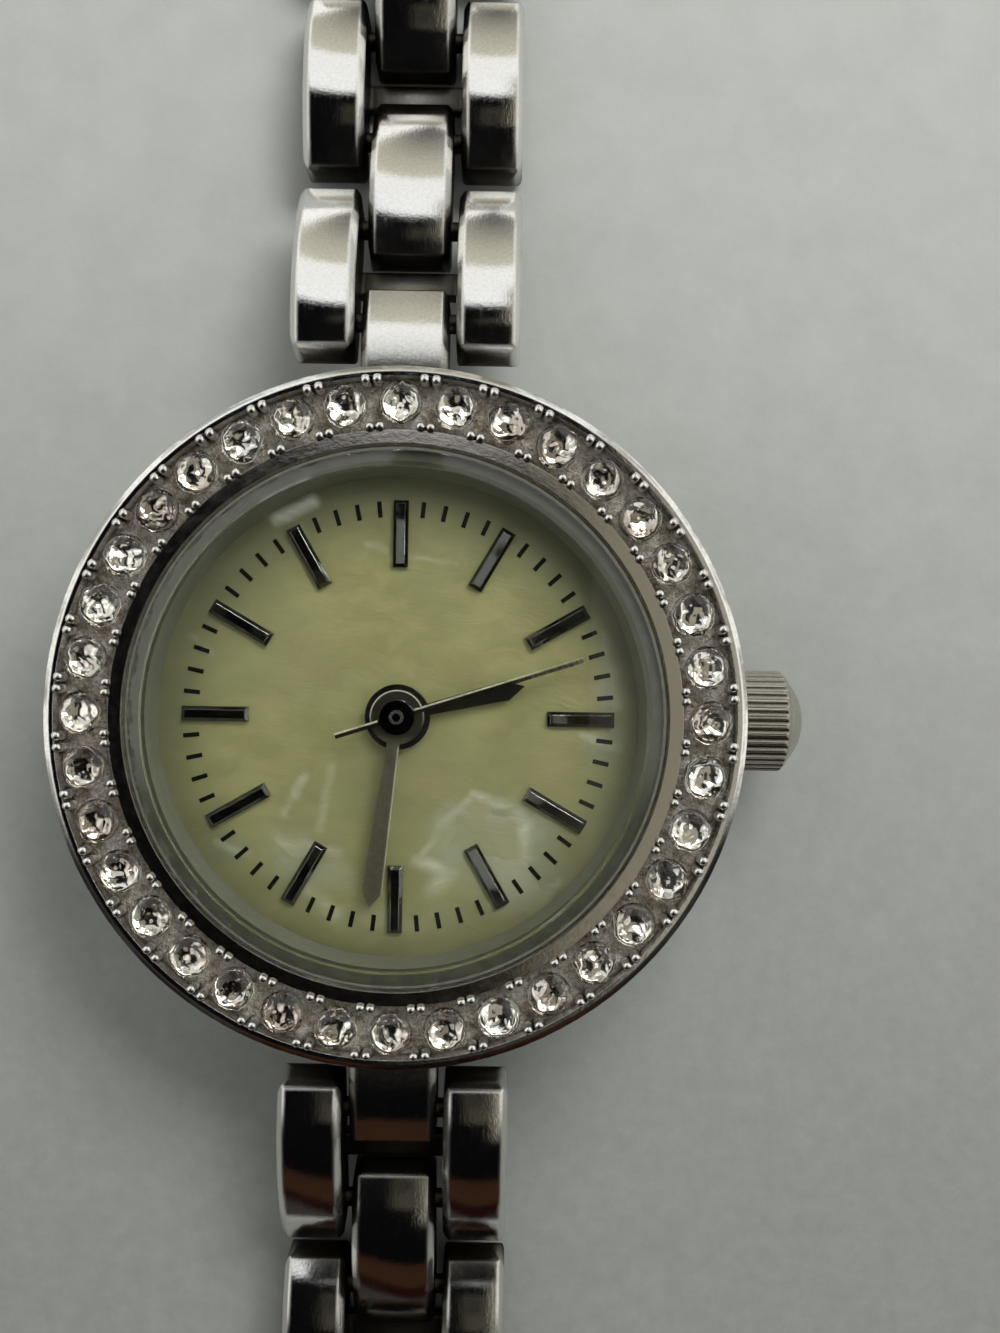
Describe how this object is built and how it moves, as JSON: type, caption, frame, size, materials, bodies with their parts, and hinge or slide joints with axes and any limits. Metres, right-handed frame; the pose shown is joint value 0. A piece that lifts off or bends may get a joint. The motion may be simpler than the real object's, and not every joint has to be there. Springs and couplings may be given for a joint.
{
  "type": "bracelet watch",
  "caption": "Small round bracelet watch with a stone-set bezel, pearl dial and three moving hands, with its link bracelet lying open",
  "frame": {"origin": "centre of the flat on the case back, in the plane the watch lies on", "axes": "+Z out of the dial, +Y to 12 o'clock along the open bracelet, +X to the crown at 3 o'clock"},
  "size_m": [0.0275, 0.1771, 0.0071],
  "materials": {
    "case_steel": "polished chrome plate over the case",
    "back_steel": "fine circular brushing, bare of any marks",
    "seal_rubber": "black soft seal",
    "seal_plastic": "pale translucent seal",
    "bezel_steel": "polished chrome with bead-set channel",
    "stone_glass": "clear cut glass with mirrored back",
    "crystal_glass": "clear mineral glass with a bevelled edge",
    "rehaut_metal": "satin inner ring",
    "dial_pearl": "warm mother-of-pearl with white clouds under clear lacquer",
    "marker_steel": "polished bevelled batons",
    "dial_ink": "black print",
    "hand_steel": "polished hands",
    "movement_brass": "plain brass base plate",
    "movement_steel": "stamped steel",
    "holder_plastic": "white moulded ring",
    "battery_steel": "plain button cell can",
    "coil_copper": "enamelled copper winding on a soft iron core",
    "crown_steel": "polished flutes and a satin domed end",
    "link_steel": "polished links with fine lengthwise wear"
  },
  "bodies": {
    "case": {"case_body": "case_steel", "case_back": "back_steel", "case_back_gasket": "seal_rubber", "bezel": "bezel_steel", "bezel_stones": "stone_glass", "crystal": "crystal_glass", "crystal_gasket": "seal_plastic", "rehaut_ring": "rehaut_metal", "dial": "dial_pearl", "hour_markers": "marker_steel", "minute_track": "dial_ink", "movement_plate": "movement_brass", "movement_cover": "movement_steel", "movement_holder": "holder_plastic", "battery": "battery_steel", "coil": "coil_copper"},
    "hour_hand": {"hour_hand": "hand_steel"},
    "minute_hand": {"minute_hand": "hand_steel"},
    "second_hand": {"second_hand": "hand_steel"},
    "setting_lever": {"setting_lever": "movement_steel"},
    "crown": {"crown": "crown_steel", "crown_gasket": "seal_rubber", "winding_stem": "movement_steel"},
    "upper_outer_link_1": {"upper_outer_link_1": "link_steel"},
    "upper_centre_link_1": {"upper_centre_link_1": "link_steel"},
    "upper_outer_link_2": {"upper_outer_link_2": "link_steel"},
    "upper_centre_link_2": {"upper_centre_link_2": "link_steel"},
    "upper_outer_link_3": {"upper_outer_link_3": "link_steel"},
    "upper_centre_link_3": {"upper_centre_link_3": "link_steel"},
    "upper_outer_link_4": {"upper_outer_link_4": "link_steel"},
    "upper_centre_link_4": {"upper_centre_link_4": "link_steel"},
    "upper_outer_link_5": {"upper_outer_link_5": "link_steel"},
    "upper_centre_link_5": {"upper_centre_link_5": "link_steel"},
    "upper_outer_link_6": {"upper_outer_link_6": "link_steel"},
    "upper_centre_link_6": {"upper_centre_link_6": "link_steel"},
    "upper_outer_link_7": {"upper_outer_link_7": "link_steel"},
    "upper_centre_link_7": {"upper_centre_link_7": "link_steel"},
    "upper_outer_link_8": {"upper_outer_link_8": "link_steel"},
    "catch_link": {"catch_link": "link_steel"},
    "lower_outer_link_1": {"lower_outer_link_1": "link_steel"},
    "lower_centre_link_1": {"lower_centre_link_1": "link_steel"},
    "lower_outer_link_2": {"lower_outer_link_2": "link_steel"},
    "lower_centre_link_2": {"lower_centre_link_2": "link_steel"},
    "lower_outer_link_3": {"lower_outer_link_3": "link_steel"},
    "lower_centre_link_3": {"lower_centre_link_3": "link_steel"},
    "lower_outer_link_4": {"lower_outer_link_4": "link_steel"},
    "lower_centre_link_4": {"lower_centre_link_4": "link_steel"},
    "lower_outer_link_5": {"lower_outer_link_5": "link_steel"},
    "lower_centre_link_5": {"lower_centre_link_5": "link_steel"},
    "lower_outer_link_6": {"lower_outer_link_6": "link_steel"},
    "lower_centre_link_6": {"lower_centre_link_6": "link_steel"},
    "lower_outer_link_7": {"lower_outer_link_7": "link_steel"},
    "lower_centre_link_7": {"lower_centre_link_7": "link_steel"},
    "lower_outer_link_8": {"lower_outer_link_8": "link_steel"},
    "clasp_base": {"clasp_base": "link_steel"},
    "clasp_cover": {"clasp_cover": "link_steel"}
  },
  "joints": [
    {"name": "minute_hand_turn", "type": "hinge", "parent": "case", "child": "minute_hand", "pos_m": [0, 0, 0.00525], "axis": [0, 0, -1], "continuous": true},
    {"name": "hour_hand_turn", "type": "hinge", "parent": "case", "child": "hour_hand", "pos_m": [0, 0, 0.00495], "axis": [0, 0, -1], "continuous": true},
    {"name": "second_hand_turn", "type": "hinge", "parent": "case", "child": "second_hand", "pos_m": [0, 0, 0.0055], "axis": [0, 0, -1], "continuous": true},
    {"name": "crown_pull", "type": "slide", "parent": "case", "child": "setting_lever", "axis": [1, 0, 0], "range_m": [0, 0.0007]},
    {"name": "crown_turn", "type": "hinge", "parent": "setting_lever", "child": "crown", "pos_m": [0.01262, 0, 0.0032], "axis": [1, 0, 0], "continuous": true},
    {"name": "upper_hinge_1", "type": "hinge", "parent": "case", "child": "upper_outer_link_1", "pos_m": [0, 0.0146, 0.0038], "axis": [-1, 0, 0], "range_deg": [-38.5, 41.5]},
    {"name": "upper_hinge_2", "type": "hinge", "parent": "upper_outer_link_1", "child": "upper_centre_link_1", "pos_m": [0, 0.01844, 0.00252], "axis": [1, 0, 0], "range_deg": [-20.6, 19.4]},
    {"name": "upper_hinge_3", "type": "hinge", "parent": "upper_centre_link_1", "child": "upper_outer_link_2", "pos_m": [0, 0.02225, 0.00129], "axis": [-1, 0, 0], "range_deg": [-5.8, 34.2]},
    {"name": "upper_hinge_4", "type": "hinge", "parent": "upper_outer_link_2", "child": "upper_centre_link_2", "pos_m": [0, 0.02629, 0.00104], "axis": [1, 0, 0], "range_deg": [-22.4, 17.6]},
    {"name": "upper_hinge_5", "type": "hinge", "parent": "upper_centre_link_2", "child": "upper_outer_link_3", "pos_m": [0, 0.03029, 0.00095], "axis": [-1, 0, 0], "range_deg": [-18.8, 21.2]},
    {"name": "upper_hinge_6", "type": "hinge", "parent": "upper_outer_link_3", "child": "upper_centre_link_3", "pos_m": [0, 0.03434, 0.00095], "axis": [1, 0, 0], "range_deg": [-20, 20]},
    {"name": "upper_hinge_7", "type": "hinge", "parent": "upper_centre_link_3", "child": "upper_outer_link_4", "pos_m": [0, 0.03834, 0.00095], "axis": [-1, 0, 0], "range_deg": [-20, 20]},
    {"name": "upper_hinge_8", "type": "hinge", "parent": "upper_outer_link_4", "child": "upper_centre_link_4", "pos_m": [0, 0.04239, 0.00095], "axis": [1, 0, 0], "range_deg": [-20, 20]},
    {"name": "upper_hinge_9", "type": "hinge", "parent": "upper_centre_link_4", "child": "upper_outer_link_5", "pos_m": [0, 0.04639, 0.00095], "axis": [-1, 0, 0], "range_deg": [-20, 20]},
    {"name": "upper_hinge_10", "type": "hinge", "parent": "upper_outer_link_5", "child": "upper_centre_link_5", "pos_m": [0, 0.05044, 0.00095], "axis": [1, 0, 0], "range_deg": [-20, 20]},
    {"name": "upper_hinge_11", "type": "hinge", "parent": "upper_centre_link_5", "child": "upper_outer_link_6", "pos_m": [0, 0.05444, 0.00095], "axis": [-1, 0, 0], "range_deg": [-20, 20]},
    {"name": "upper_hinge_12", "type": "hinge", "parent": "upper_outer_link_6", "child": "upper_centre_link_6", "pos_m": [0, 0.05849, 0.00095], "axis": [1, 0, 0], "range_deg": [-20, 20]},
    {"name": "upper_hinge_13", "type": "hinge", "parent": "upper_centre_link_6", "child": "upper_outer_link_7", "pos_m": [0, 0.06249, 0.00095], "axis": [-1, 0, 0], "range_deg": [-20, 20]},
    {"name": "upper_hinge_14", "type": "hinge", "parent": "upper_outer_link_7", "child": "upper_centre_link_7", "pos_m": [0, 0.06654, 0.00095], "axis": [1, 0, 0], "range_deg": [-20, 20]},
    {"name": "upper_hinge_15", "type": "hinge", "parent": "upper_centre_link_7", "child": "upper_outer_link_8", "pos_m": [0, 0.07054, 0.00095], "axis": [-1, 0, 0], "range_deg": [-20, 20]},
    {"name": "catch_hinge", "type": "hinge", "parent": "upper_outer_link_8", "child": "catch_link", "pos_m": [0, 0.07459, 0.00095], "axis": [1, 0, 0], "range_deg": [-20, 20]},
    {"name": "lower_hinge_1", "type": "hinge", "parent": "case", "child": "lower_outer_link_1", "pos_m": [0, -0.0146, 0.0038], "axis": [1, 0, 0], "range_deg": [-38.5, 41.5]},
    {"name": "lower_hinge_2", "type": "hinge", "parent": "lower_outer_link_1", "child": "lower_centre_link_1", "pos_m": [0, -0.01844, 0.00252], "axis": [-1, 0, 0], "range_deg": [-20.6, 19.4]},
    {"name": "lower_hinge_3", "type": "hinge", "parent": "lower_centre_link_1", "child": "lower_outer_link_2", "pos_m": [0, -0.02225, 0.00129], "axis": [1, 0, 0], "range_deg": [-5.8, 34.2]},
    {"name": "lower_hinge_4", "type": "hinge", "parent": "lower_outer_link_2", "child": "lower_centre_link_2", "pos_m": [0, -0.02629, 0.00104], "axis": [-1, 0, 0], "range_deg": [-22.4, 17.6]},
    {"name": "lower_hinge_5", "type": "hinge", "parent": "lower_centre_link_2", "child": "lower_outer_link_3", "pos_m": [0, -0.03029, 0.00095], "axis": [1, 0, 0], "range_deg": [-18.8, 21.2]},
    {"name": "lower_hinge_6", "type": "hinge", "parent": "lower_outer_link_3", "child": "lower_centre_link_3", "pos_m": [0, -0.03434, 0.00095], "axis": [-1, 0, 0], "range_deg": [-20, 20]},
    {"name": "lower_hinge_7", "type": "hinge", "parent": "lower_centre_link_3", "child": "lower_outer_link_4", "pos_m": [0, -0.03834, 0.00095], "axis": [1, 0, 0], "range_deg": [-20, 20]},
    {"name": "lower_hinge_8", "type": "hinge", "parent": "lower_outer_link_4", "child": "lower_centre_link_4", "pos_m": [0, -0.04239, 0.00095], "axis": [-1, 0, 0], "range_deg": [-20, 20]},
    {"name": "lower_hinge_9", "type": "hinge", "parent": "lower_centre_link_4", "child": "lower_outer_link_5", "pos_m": [0, -0.04639, 0.00095], "axis": [1, 0, 0], "range_deg": [-20, 20]},
    {"name": "lower_hinge_10", "type": "hinge", "parent": "lower_outer_link_5", "child": "lower_centre_link_5", "pos_m": [0, -0.05044, 0.00095], "axis": [-1, 0, 0], "range_deg": [-20, 20]},
    {"name": "lower_hinge_11", "type": "hinge", "parent": "lower_centre_link_5", "child": "lower_outer_link_6", "pos_m": [0, -0.05444, 0.00095], "axis": [1, 0, 0], "range_deg": [-20, 20]},
    {"name": "lower_hinge_12", "type": "hinge", "parent": "lower_outer_link_6", "child": "lower_centre_link_6", "pos_m": [0, -0.05849, 0.00095], "axis": [-1, 0, 0], "range_deg": [-20, 20]},
    {"name": "lower_hinge_13", "type": "hinge", "parent": "lower_centre_link_6", "child": "lower_outer_link_7", "pos_m": [0, -0.06249, 0.00095], "axis": [1, 0, 0], "range_deg": [-20, 20]},
    {"name": "lower_hinge_14", "type": "hinge", "parent": "lower_outer_link_7", "child": "lower_centre_link_7", "pos_m": [0, -0.06654, 0.00095], "axis": [-1, 0, 0], "range_deg": [-20, 20]},
    {"name": "lower_hinge_15", "type": "hinge", "parent": "lower_centre_link_7", "child": "lower_outer_link_8", "pos_m": [0, -0.07054, 0.00095], "axis": [1, 0, 0], "range_deg": [-20, 20]},
    {"name": "clasp_hinge", "type": "hinge", "parent": "lower_outer_link_8", "child": "clasp_base", "pos_m": [0, -0.07459, 0.00095], "axis": [-1, 0, 0], "range_deg": [-20, 20]},
    {"name": "clasp_cover_hinge", "type": "hinge", "parent": "clasp_base", "child": "clasp_cover", "pos_m": [0, -0.0779, 0.00125], "axis": [-1, 0, 0], "range_deg": [0, 100]}
  ],
  "couplings": [
    {"joint": "hour_hand_turn", "follows": "minute_hand_turn", "ratio": 0.083333}
  ]
}
